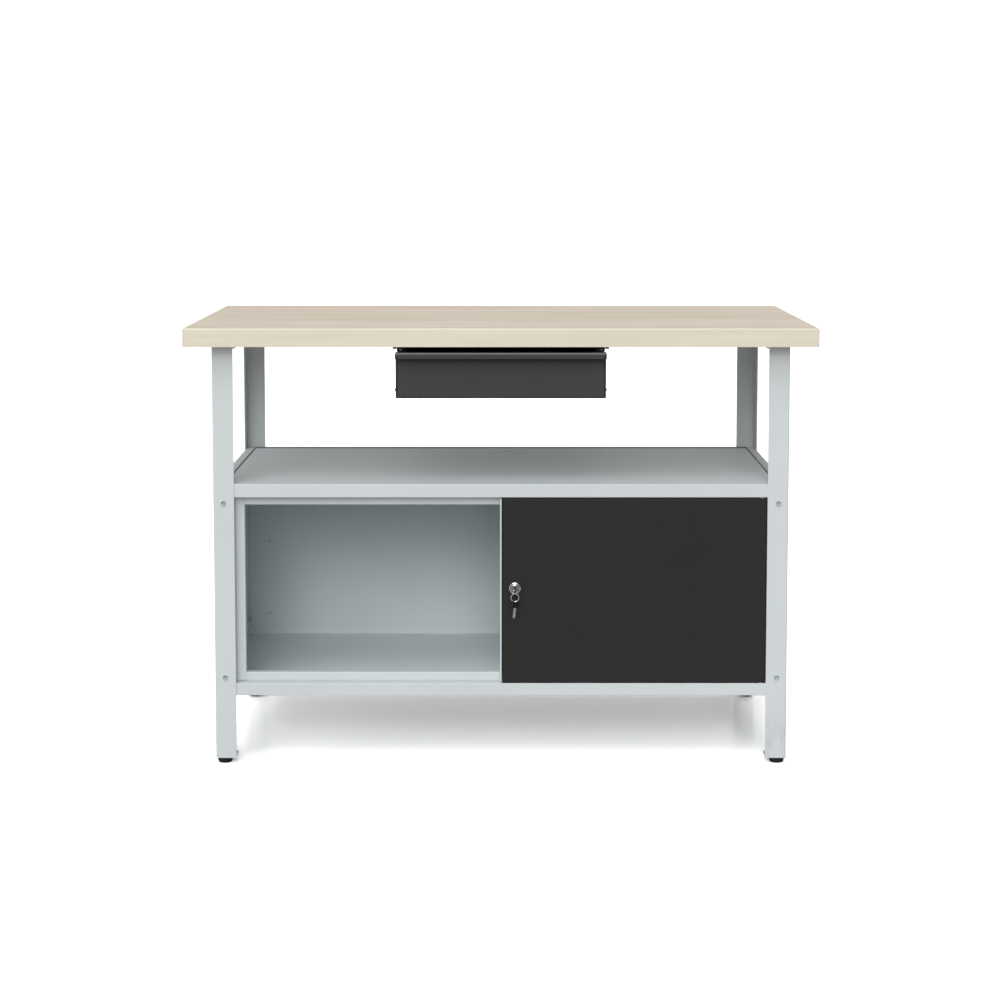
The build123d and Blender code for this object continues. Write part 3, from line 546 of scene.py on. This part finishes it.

# ---------------------------------------------------------------- bolts and nuts in the legs
# Eight button-head bolts hold the cabinet in the legs, painted over in front in the same darker grey,
# painted shade in their dished heads, with plain hexagon nuts inside. Each head has a wide dished mouth
# that runs down to its hexagon socket.
bolt_head, bolt_tall = 0.0049, 0.0030
bolt_spots, nut_spots = [], []
for low, high in solids("leg_bolts"):
    span = high - low
    axis = max(range(3), key=lambda i: span[i])
    outward = -1 if axis == 1 or low.x + high.x < 0 else 1
    bolt_spots.append(seated(low, high, axis, outward, bolt_tall))
    bolt_length = span[axis] - bolt_tall
for low, high in solids("leg_nuts"):
    span = high - low
    axis = min(range(3), key=lambda i: span[i])
    inward = 1 if axis == 1 or low.x + high.x < 0 else -1
    nut_spots.append(seated(low, high, axis, inward, high[axis] - low[axis]))
turned(
    "cabinet_bolts", bolt_spots,
    {"Head radius": bolt_head, "Head height": bolt_tall, "Socket across": 0.0034, "Thread radius": 0.00295,
     "Length": bolt_length},
    lambda s: [
        (s["Thread radius"] * 0.7, 0.0 - s["Length"]), (s["Thread radius"], 0.0006 - s["Length"]),
        (s["Thread radius"], 0.0), (s["Head radius"], 0.0), (s["Head radius"], s["Head height"] * 0.3),
        (s["Head radius"] * 0.97, s["Head height"] * 0.62),
        (s["Head radius"] * 0.92, s["Head height"] * 0.85),
        (s["Head radius"] * 0.86, s["Head height"]), (s["Head radius"] * 0.80, s["Head height"] * 0.98),
        (s["Head radius"] * 0.70, s["Head height"] * 0.56),
        (s["Head radius"] * 0.52, s["Head height"] * 0.16),
        (s["Socket across"] / 2, s["Head height"] * 0.08, "hex"),
        (s["Socket across"] / 2, s["Head height"] * -0.3, "hex"),
    ],
    fixing_grey_painted_shade, "bench", "leg_bolts", sides=36,
)
turned(
    "cabinet_bolt_nuts", nut_spots,
    {"Across flats": 0.010, "Bore radius": 0.00305, "Height": 0.005},
    lambda s: [
        (s["Bore radius"], 0.0), (s["Across flats"] / 2 * 0.96, 0.0),
        (s["Across flats"] / 2, 0.0004, "hex"),
        (s["Across flats"] / 2, s["Height"] - 0.0004, "hex"), (s["Across flats"] / 2 * 0.96, s["Height"]),
        (s["Bore radius"] + 0.0003, s["Height"]), (s["Bore radius"], s["Height"] - 0.0003),
        (s["Bore radius"], 0.0),
    ],
    zinc, "bench", "leg_nuts", sides=24, bored=True,
)

# ---------------------------------------------------------------- door
# A 1 mm sheet folded into a shallow tray with a returned edge, a stiffening channel inside it and
# two rubber buffers. It turns on two plated pins in nylon bushes. Powder coated near black.
near_black = finish("anthracite powder coat", powder((0.0195, 0.0195, 0.0198), 0.50, 1.4, 0.09, shine=0.2))
coat(near_black, "door_panel", "door_stiffener")
coat(zinc, "hinge_pins")
nylon = finish("natural nylon", plastic((0.68, 0.66, 0.60), 0.38))
coat(nylon, "hinge_bushes")
buffers = solids("door_bumpers")
rubber = finish("buffer rubber", plastic((0.018, 0.018, 0.018), 0.62, 0.3))
turned(
    "door_buffers",
    [seated(low, high, 1, 1, high.y - low.y) for low, high in buffers],
    {"Radius": 0.0045, "Height": buffers[0][1].y - buffers[0][0].y},
    lambda s: [
        (s["Radius"] * 0.9, 0.0), (s["Radius"], s["Height"] * 0.2), (s["Radius"] * 0.96, s["Height"] * 0.6),
        (s["Radius"] * 0.8, s["Height"] * 0.88), (s["Radius"] * 0.5, s["Height"]),
    ],
    rubber, "door", "door_bumpers", sides=32,
)

# ---------------------------------------------------------------- cam lock
# A cast and chromed lock body with a rolled rim stands through the door and is held by a thin nut.
# Its plug has a dished face and a keyway, and carries a flat cam behind the door.
chrome = finish("bright chrome", plated((0.74, 0.74, 0.75), 0.10, 0.05))
body_low, body_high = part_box("lock_body")
lock_x, lock_z = (body_low.x + body_high.x) / 2, (body_low.z + body_high.z) / 2
flange_deep = 0.0025
turned(
    "lock_case", [((lock_x, body_low.y + flange_deep, lock_z), (0, -1, 0))],
    {"Rim radius": 0.0115, "Rim height": flange_deep, "Bore radius": 0.0070, "Barrel radius": 0.009,
     "Barrel length": body_high.y - body_low.y - flange_deep},
    lambda s: [
        (s["Bore radius"], 0.0 - s["Barrel length"]), (s["Barrel radius"], 0.0 - s["Barrel length"]),
        (s["Barrel radius"], 0.0), (s["Rim radius"] - 0.0001, 0.0),
        (s["Rim radius"], s["Rim height"] * 0.35),
        (s["Rim radius"] * 0.985, s["Rim height"] * 0.62), (s["Rim radius"] * 0.95, s["Rim height"] * 0.85),
        (s["Rim radius"] * 0.90, s["Rim height"] * 0.97), (s["Rim radius"] * 0.85, s["Rim height"]),
        (s["Rim radius"] * 0.80, s["Rim height"] * 0.96), (s["Rim radius"] * 0.74, s["Rim height"] * 0.72),
        (s["Rim radius"] * 0.70, s["Rim height"] * 0.45), (s["Rim radius"] * 0.66, s["Rim height"] * 0.42),
        (s["Bore radius"] + 0.0002, s["Rim height"] * 0.55), (s["Bore radius"], s["Rim height"] * 0.45),
        (s["Bore radius"], 0.0 - s["Barrel length"]),
    ],
    chrome, "door", "lock_body", sides=72, bored=True, angle=48,
)
coat(zinc, "lock_nut", "lock_cam", "cam_screw")

plug_low, plug_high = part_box("lock_plug")


def round_row(shape, sides, point):
    """A closed row of points; point takes the cosine and the sine of each one's turn."""
    turns = [2 * pi * k / sides for k in range(sides)]
    return [shape.verts.new(point(cos(turn), sin(turn))) for turn in turns]


def sleeve(shape, one, two):
    """Four-sided faces from one closed row of points to the next."""
    for k in range(len(one)):
        j = (k + 1) % len(one)
        shape.faces.new((one[k], one[j], two[j], two[k]))


def drawn(name, shape, place=None):
    """A finished object of a shape, its faces turned outwards, moved to its place."""
    bmesh.ops.recalc_face_normals(shape, faces=shape.faces)
    if place is not None:
        shape.transform(place)
    mesh = bpy.data.meshes.new(name)
    shape.to_mesh(mesh)
    shape.free()
    piece = bpy.data.objects.new(name, mesh)
    bpy.context.scene.collection.objects.link(piece)
    return piece


def lathe(name, rings, sides):
    """A closed turned shell along -Y about the lock's axis, from radius and depth pairs."""
    shape = bmesh.new()
    rows = [
        round_row(shape, sides, lambda c, s: (lock_x + radius * c, depth, lock_z + radius * s))
        for radius, depth in rings
    ]
    shape.faces.new(rows[0])
    for one, two in zip(rows, rows[1:]):
        sleeve(shape, one, two)
    shape.faces.new(list(reversed(rows[-1])))
    return drawn(name, shape)


face, plug_tail = plug_low.y, 0.0060
plug_radius = (plug_high.x - plug_low.x) / 2
plug = lathe(
    "lock_plug_face",
    [(plug_tail, plug_high.y), (plug_radius, plug_high.y - 0.0004), (plug_radius, face + 0.0006),
     (plug_radius * 0.97, face + 0.0002), (plug_radius * 0.90, face), (plug_radius * 0.82, face + 0.0001),
     (plug_radius * 0.70, face + 0.0006), (plug_radius * 0.52, face + 0.0011),
     (plug_radius * 0.48, face + 0.0012)],
    72,
)
keyway_size = (0.0022, 0.030, 0.0082)
slot = bmesh.new()
bmesh.ops.create_cube(slot, size=1)
bmesh.ops.scale(slot, vec=keyway_size, verts=slot.verts)
bmesh.ops.translate(slot, vec=(lock_x, face, lock_z), verts=slot.verts)
keyway = drawn("keyway", slot)
cut = plug.modifiers.new("keyway", "BOOLEAN")
cut.object, cut.operation, cut.solver = keyway, "DIFFERENCE", "EXACT"
graph = bpy.context.evaluated_depsgraph_get()
plug.data = bpy.data.meshes.new_from_object(plug.evaluated_get(graph))
plug.modifiers.clear()
bpy.data.objects.remove(keyway)
plug.data.materials.append(chrome)
kept(plug, "lock", "lock_plug", 40)

# ---------------------------------------------------------------- keys
# Flat nickel plated keys with a rib along each flat and teeth cut in one edge, each with a moulded
# black plastic bow. One is in the lock, edge on. The other hangs from the ring, leaning a little.
nickel = finish("nickel plate", plated((0.70, 0.70, 0.71), 0.16, 0.06))


def key_blade(name, place, length, width, thick):
    """A blade along -V of its own plane, from the bow outwards, teeth cut in one edge."""
    cuts = (0.15, 0.55, 0.30, 0.75, 0.45, 0.20, 0.60)
    step = (length - width * 0.9) / (len(cuts) + 1.2)
    at = -length + width * 0.55
    outline = [
        (-width / 2, 0), (-width / 2, -length + width * 0.4), (-width * 0.12, -length),
        (width * 0.18, -length + width * 0.12), (width * 0.45, at),
    ]
    for depth in cuts:
        deep = width / 2 - depth * width * 0.3
        outline += [(width / 2 * 0.98, at + step * 0.18), (deep, at + step * 0.5), (deep, at + step * 0.68)]
        at += step
    outline += [(width / 2, at + step * 0.25), (width / 2, 0)]
    shape = bmesh.new()
    back, front = [
        [shape.verts.new((u, v, side * thick / 2)) for u, v in outline] for side in (-1, 1)
    ]
    shape.faces.new(front)
    shape.faces.new(list(reversed(back)))
    sleeve(shape, back, front)
    rib = bmesh.ops.create_cube(shape, size=1)["verts"]
    bmesh.ops.scale(shape, vec=(width * 0.16, length * 0.86, thick * 1.16), verts=rib)
    bmesh.ops.translate(shape, vec=(-width * 0.2, -length * 0.47, 0), verts=rib)
    piece = drawn(name, shape, place)
    piece.data.materials.append(nickel)
    return piece


def key_bow(name, place, radius, thick, hole_at, hole):
    """A round moulded bow with a rolled rim, a sunk panel and a hole for the ring."""
    sides = 48
    rim = [(1.0, 0.25), (0.985, 0.42), (0.93, 0.5), (0.84, 0.5), (0.79, 0.38)]
    shape = bmesh.new()

    def rows(across, along, reach, levels):
        return [
            round_row(
                shape, sides,
                lambda c, s: (across + reach * share * c, along + reach * share * s, thick * level),
            )
            for share, level in levels
        ]

    loops = rows(0, 0, radius, [(share, -level) for share, level in reversed(rim)] + rim)
    eye = rows(*hole_at, hole, ((1.35, -0.38), (1.12, -0.5), (1.12, 0.5), (1.35, 0.38)))
    bore = rows(*hole_at, hole, ((1.06, -0.5), (1.0, -0.4), (1.0, 0.4), (1.06, 0.5)))
    for one, two in zip(loops, loops[1:]):
        sleeve(shape, one, two)
    for one, two in ((eye[0], eye[1]), (eye[2], eye[3]), (eye[1], bore[0]), (bore[3], eye[2])):
        sleeve(shape, one, two)
    for one, two in zip(bore, bore[1:]):
        sleeve(shape, two, one)
    # the sunk panel is the flat ring between the rim and the raised eye, on each face
    for outer, inner in ((eye[0], loops[0]), (loops[-1], eye[3])):
        edges = []
        for loop in (outer, inner):
            for k in range(sides):
                pair = (loop[k], loop[(k + 1) % sides])
                edges.append(shape.edges.get(pair) or shape.edges.new(pair))
        bmesh.ops.triangle_fill(shape, use_beauty=True, edges=edges)
    piece = drawn(name, shape, place)
    piece.data.materials.append(black_plastic)
    return piece


def key_frame(origin, across, down):
    """Matrix of a key's own plane: U across, V up the key towards its bow, W out of its flat."""
    u, v = Vector(across).normalized(), -Vector(down).normalized()
    w = u.cross(v)
    matrix = Matrix((u, v, w)).transposed().to_4x4()
    matrix.translation = Vector(origin)
    return matrix


bow_low, bow_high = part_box("key_bow")
bow_radius = (bow_high.z - bow_low.z) / 2
bow_mid = (bow_low + bow_high) / 2
ring_low, ring_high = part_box("key_ring")
ring_mid = (ring_low + ring_high) / 2
wire_radius = (ring_high.y - ring_low.y) / 2
ring_radius = (ring_high.x - ring_low.x) / 2 - wire_radius
ring_top = Vector((ring_mid.x, ring_mid.y, ring_mid.z + ring_radius))
bow_place = key_frame(bow_mid, (0, 0, 1), (0, 1, 0))
hole_at, hole = (ring_top.z - bow_mid.z, -(ring_top.y - bow_mid.y)), 0.0026
kept(key_bow("lock_key_bow", bow_place, bow_radius, bow_high.x - bow_low.x, hole_at, hole),
     "lock", "key_bow", 38)

blade_low, blade_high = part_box("key_blade")
blade_thick, tuck = 0.0018, 0.0002
blade_start = bow_mid.y + bow_radius - tuck
blade_place = key_frame((lock_x, blade_start, lock_z), (0, 0, 1), (0, 1, 0))
blade_wide = blade_high.z - blade_low.z - tuck
kept(key_blade("lock_key_blade", blade_place, blade_high.y - blade_start, blade_wide, blade_thick),
     "lock", "key_blade", 30)

spare_turn, spare_lean = radians(45), radians(9)
spare_radius, spare_thick, spare_drop, spare_hole = 0.0085, 0.0016, 0.004, 0.0024
spare_length, spare_width, spare_blade_thick = 0.0200, 0.0060, 0.0013
# how far below its bow's middle the key crosses the plumb line from the ring
spare_plumb = 0.011
hang = Vector((ring_mid.x, ring_mid.y, ring_mid.z - ring_radius))
flat_x = Vector((cos(spare_turn), sin(spare_turn), 0))
down = -sin(spare_lean) * flat_x + Vector((0, 0, -cos(spare_lean)))
side = cos(spare_lean) * flat_x + Vector((0, 0, -sin(spare_lean)))
shift = (spare_drop + spare_plumb) * sin(spare_lean) / cos(spare_lean)
spare_mid = hang + spare_drop * down + shift * side
spare_place = key_frame(spare_mid, side, down)
eye_at = spare_place.inverted() @ hang
kept(key_bow("spare_key_bow", spare_place, spare_radius, spare_thick, (eye_at.x, eye_at.y), spare_hole),
     "spare_key", "spare_bow", 38)
spare_blade_place = key_frame(spare_mid + (spare_radius - tuck) * down, side, down)
kept(key_blade("spare_key_blade", spare_blade_place, spare_length, spare_width, spare_blade_thick),
     "spare_key", "spare_blade", 30)

# ---------------------------------------------------------------- split ring
# Nickel plated spring wire, rolled flat and wound twice round, holding the two keys together. The
# turns lie close against each other, and each end is cut square.
ring_tree = bpy.data.node_groups.new("split ring", "GeometryNodeTree")
ring_tree.interface.new_socket("Geometry", in_out="OUTPUT", socket_type="NodeSocketGeometry")
ring_tree.interface.new_socket("Geometry", in_out="INPUT", socket_type="NodeSocketGeometry")
ring_sizes = {
    "Radius": ring_radius, "Wire width": 2 * wire_radius, "Wire height": wire_radius * 0.94, "Turns": 1.97,
}
for label in ring_sizes:
    ring_tree.interface.new_socket(label, in_out="INPUT", socket_type="NodeSocketFloat")
given = ring_tree.nodes.new("NodeGroupInput")
size = {label: Wire(ring_tree, given.outputs[label]) for label in ring_sizes}
here = Wire(ring_tree)
coil = here.add(
    "GeometryNodeCurveSpiral", None,
    {0: 64, 1: size["Turns"], 2: size["Radius"], 3: size["Radius"], 4: size["Wire height"] * 1.06},
)
section = here.add("GeometryNodeCurvePrimitiveCircle", None, {0: 12, 4: 0.5})
flat = here.add("ShaderNodeCombineXYZ", None, {0: size["Wire width"], 1: size["Wire height"], 2: 1.0})
section = section.add("GeometryNodeTransform", None, {0: section, 3: flat})
wound = here.add("GeometryNodeCurveToMesh", None, {0: coil, 1: section, 3: True})
wound = wound.add(
    "GeometryNodeTransform", None,
    {0: wound, 1: here.add("ShaderNodeCombineXYZ", None, {2: size["Wire height"] * -0.53})},
)
upright = (radians(90), 0, 0)
wound = wound.add("GeometryNodeTransform", None, {0: wound, 1: tuple(ring_mid), 2: upright})
wound = wound.add("GeometryNodeRealizeInstances", None, {0: wound})
wound = wound.add("GeometryNodeSetMaterial", None, {0: wound, 2: nickel})
ring_tree.links.new(wound.socket, ring_tree.nodes.new("NodeGroupOutput").inputs[0])
ring_start = bpy.data.meshes.new("split_ring")
settle("split_ring", ring_start, ring_tree, ring_sizes, "ring", "key_ring", 50)

# ---------------------------------------------------------------- drawer
# A folded front with a turned-out lip for the fingers, riveted to a one-piece tray that carries a
# hooked runner along each side. Coated anthracite, with nylon pads to glide on.
anthracite = finish("drawer powder coat", powder((0.046, 0.046, 0.047), 0.52, 1.4, 0.07, shine=0.25))
coat(anthracite, "drawer_box", "drawer_runner_left", "drawer_runner_right")
front_low, front_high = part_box("drawer_front")


def front_painted_light_and_shade(x, y, z):
    """A painted highlight makes the lip's upper fold pale, and painted shade darkens the front's ends and
    foot.
    """
    # painted highlight along the lip's upper fold
    painted_highlight = (z - front_high.z).above(-0.0012, 0.001)
    # painted shade on the front's ends and along its foot
    ends = (x.maths("ABSOLUTE", x) - front_high.x).above(-0.0042, 0.0015)
    foot = 1 - (z - front_low.z).above(0.0030, 0.0015)
    dark = ends.maths("MAXIMUM", ends, foot)
    return [(dark * 0.75, (0.008, 0.008, 0.008, 1)), (painted_highlight * 0.8, (0.34, 0.34, 0.34, 1))]


front_coat = powder((0.044, 0.044, 0.045), 0.52, 1.4, 0.07, shine=0.25, painted_light_marks=front_painted_light_and_shade)
coat(finish("drawer front powder coat", front_coat), "drawer_front")
coat(nylon, "glide_pads")
dark_small = finish("dark paint on rivets", powder((0.03, 0.03, 0.03), 0.4, 0.7, 0.1, shine=0.35))
front_rivets, side_rivets = [], []
for low, high in solids("drawer_rivets"):
    outer = max(abs(low.x), abs(high.x)) > front_high.x + 0.001
    (front_rivets if outer else side_rivets).append((low, high))
for name, pairs, low_head in (
    ("drawer_front_rivets", front_rivets, 0.0016), ("drawer_side_rivets", side_rivets, 0.0012),
):
    turned(
        name,
        [seated(low, high, 0, 1 if low.x + high.x > 0 else -1, low_head) for low, high in pairs],
        {"Head radius": 0.003, "Head height": low_head, "Core radius": 0.0017,
         "Grip": pairs[0][1].x - pairs[0][0].x - 2 * low_head},
        rivet_rings, dark_small, "drawer", "drawer_rivets", sides=20,
    )

# ---------------------------------------------------------------- slides
# Two folded rails, stoved black, screwed up into the worktop through washers. They carry the
# drawer's runners, and a stop near each end keeps the drawer in.
stoved = finish("stoved black", powder((0.012, 0.012, 0.012), 0.42, 1.0, 0.1, shine=0.25))
coat(stoved, "drawer_slide_left", "drawer_slide_right")
dark_zinc = finish("black passivated zinc", plated((0.16, 0.16, 0.155), 0.36))
slide_washers = solids("slide_washers")
turned(
    "slide_screw_washers",
    [seated(low, high, 2, -1, high.z - low.z) for low, high in slide_washers],
    {"Radius": 0.0031, "Bore radius": 0.0021, "Thickness": slide_washers[0][1].z - slide_washers[0][0].z},
    lambda s: [
        (s["Bore radius"], 0.0), (s["Radius"] - 0.0001, 0.0), (s["Radius"], s["Thickness"] * 0.3),
        (s["Radius"], s["Thickness"] * 0.7), (s["Radius"] - 0.0002, s["Thickness"]),
        (s["Bore radius"], s["Thickness"]), (s["Bore radius"], 0.0),
    ],
    dark_zinc, "bench", "slide_washers", sides=28, bored=True,
)
slide_screws = solids("slide_screws")
head_high = slide_washers[0][0].z - slide_screws[0][0].z
turned(
    "slide_hexagon_screws",
    [seated(low, high, 2, -1, head_high) for low, high in slide_screws],
    {"Across flats": 0.0065, "Head height": head_high, "Core radius": 0.00195,
     "Core length": slide_screws[0][1].z - slide_screws[0][0].z - head_high},
    lambda s: [
        (s["Core radius"] * 0.3, 0.0 - s["Core length"]), (s["Core radius"], 0.003 - s["Core length"]),
        (s["Core radius"], 0.0), (s["Across flats"] / 2, 0.0, "hex"),
        (s["Across flats"] / 2, s["Head height"] * 0.9, "hex"),
        (s["Across flats"] / 2 * 0.96, s["Head height"]),
        (s["Across flats"] * 0.33, s["Head height"] * 0.94),
    ],
    dark_zinc, "bench", "slide_screws", sides=24,
)

# ---------------------------------------------------------------- floor, light and camera
# A white studio floor with a slight sheen, soft light from above, in front and from the left, and a
# camera in front of the bench.
reach = 60
floor_mesh = bpy.data.meshes.new("studio_floor")
floor_mesh.from_pydata(
    [(-reach, -reach, 0), (reach, -reach, 0), (reach, reach, 0), (-reach, reach, 0)], [], [(0, 1, 2, 3)]
)
floor = bpy.data.objects.new("studio_floor", floor_mesh)
bpy.context.scene.collection.objects.link(floor)


def floor_paint(place):
    cloud = place.noise(1.7, 2, 0.5)
    return {
        "Base Color": cloud.tint((1.95, 1.95, 1.95, 1), (1.98, 1.98, 1.98, 1)),
        "Roughness": 0.12 + cloud * 0.04,
        "Specular IOR Level": 0.35,
        "Emission Color": (1, 1, 1, 1),
        "Emission Strength": 0.05,
    }


floor_finish = finish("studio floor", floor_paint)
tree = floor_finish.node_tree
# what the bench sees of the floor is a plain dull grey, so that little light comes up from below
dull = Wire(tree).add("ShaderNodeBsdfDiffuse", None, {"Color": (0.46, 0.46, 0.46, 1)})
bright = Wire(tree, tree.nodes["Principled BSDF"].outputs[0])
straight = Wire(tree).add("ShaderNodeLightPath")
seen_floor = Wire(tree).add("ShaderNodeMixShader", None, {0: straight, 1: dull, 2: bright})
tree.links.new(seen_floor.socket, tree.nodes["Material Output"].inputs["Surface"])
floor_mesh.materials.append(floor_finish)

world = bpy.data.worlds.new("studio")
bpy.context.scene.world = world
world.use_nodes = True
sky = world.node_tree
lit = sky.nodes["Background"]
lit.inputs["Color"].default_value = (1, 1, 1, 1)
rear_glow, even_glow, screen_glow = 0.45, 0.12, 1.15
behind = Wire(sky).add("ShaderNodeTexCoord", out=0).parts()[1]
glow = behind.maths("MAXIMUM", behind, 0.0) * rear_glow + even_glow
sky.links.new(glow.socket, lit.inputs["Strength"])
seen = Wire(sky).add("ShaderNodeBackground", None, {"Color": (1, 1, 1, 1), "Strength": screen_glow})
camera_ray = Wire(sky).add("ShaderNodeLightPath", out=0)
both = Wire(sky).add("ShaderNodeMixShader", None, {0: camera_ray, 1: Wire(sky, lit.outputs[0]), 2: seen})
sky.links.new(both.socket, sky.nodes["World Output"].inputs["Surface"])


def sun(name, travel, strength, spread):
    """Even soft light that travels one way, from a patch of sky that many degrees wide."""
    light = bpy.data.lights.new(name, "SUN")
    light.energy, light.angle = strength, radians(spread)
    lamp = bpy.data.objects.new(name, light)
    lamp.rotation_euler = Vector(travel).to_track_quat("-Z", "Y").to_euler()
    bpy.context.scene.collection.objects.link(lamp)


sun("overhead softbox", (0.05, 0.20, -1), 1.30, 60)
sun("left softbox", (0.22, 0.80, -0.70), 1.34, 46)
sun("front softbox", (0.0, 0.93, -0.34), 0.94, 26)
sun("side softbox", (0.92, 0.24, -0.30), 0.34, 36)

camera_away, camera_high, camera_down = 3.945, 1.156, 4.57
camera_data = bpy.data.cameras.new("camera")
camera_data.sensor_width, camera_data.lens = 36, 70.0
camera_data.shift_x, camera_data.shift_y = -0.00085, -0.1792
camera_data.clip_end = 200
camera = bpy.data.objects.new("camera", camera_data)
camera.location = (0, -camera_away, camera_high)
camera.rotation_euler = (radians(90 - camera_down), 0, 0)
bpy.context.scene.collection.objects.link(camera)
bpy.context.scene.camera = camera
bpy.context.scene.view_settings.view_transform = "Standard"
bpy.context.scene.view_settings.look = "None"
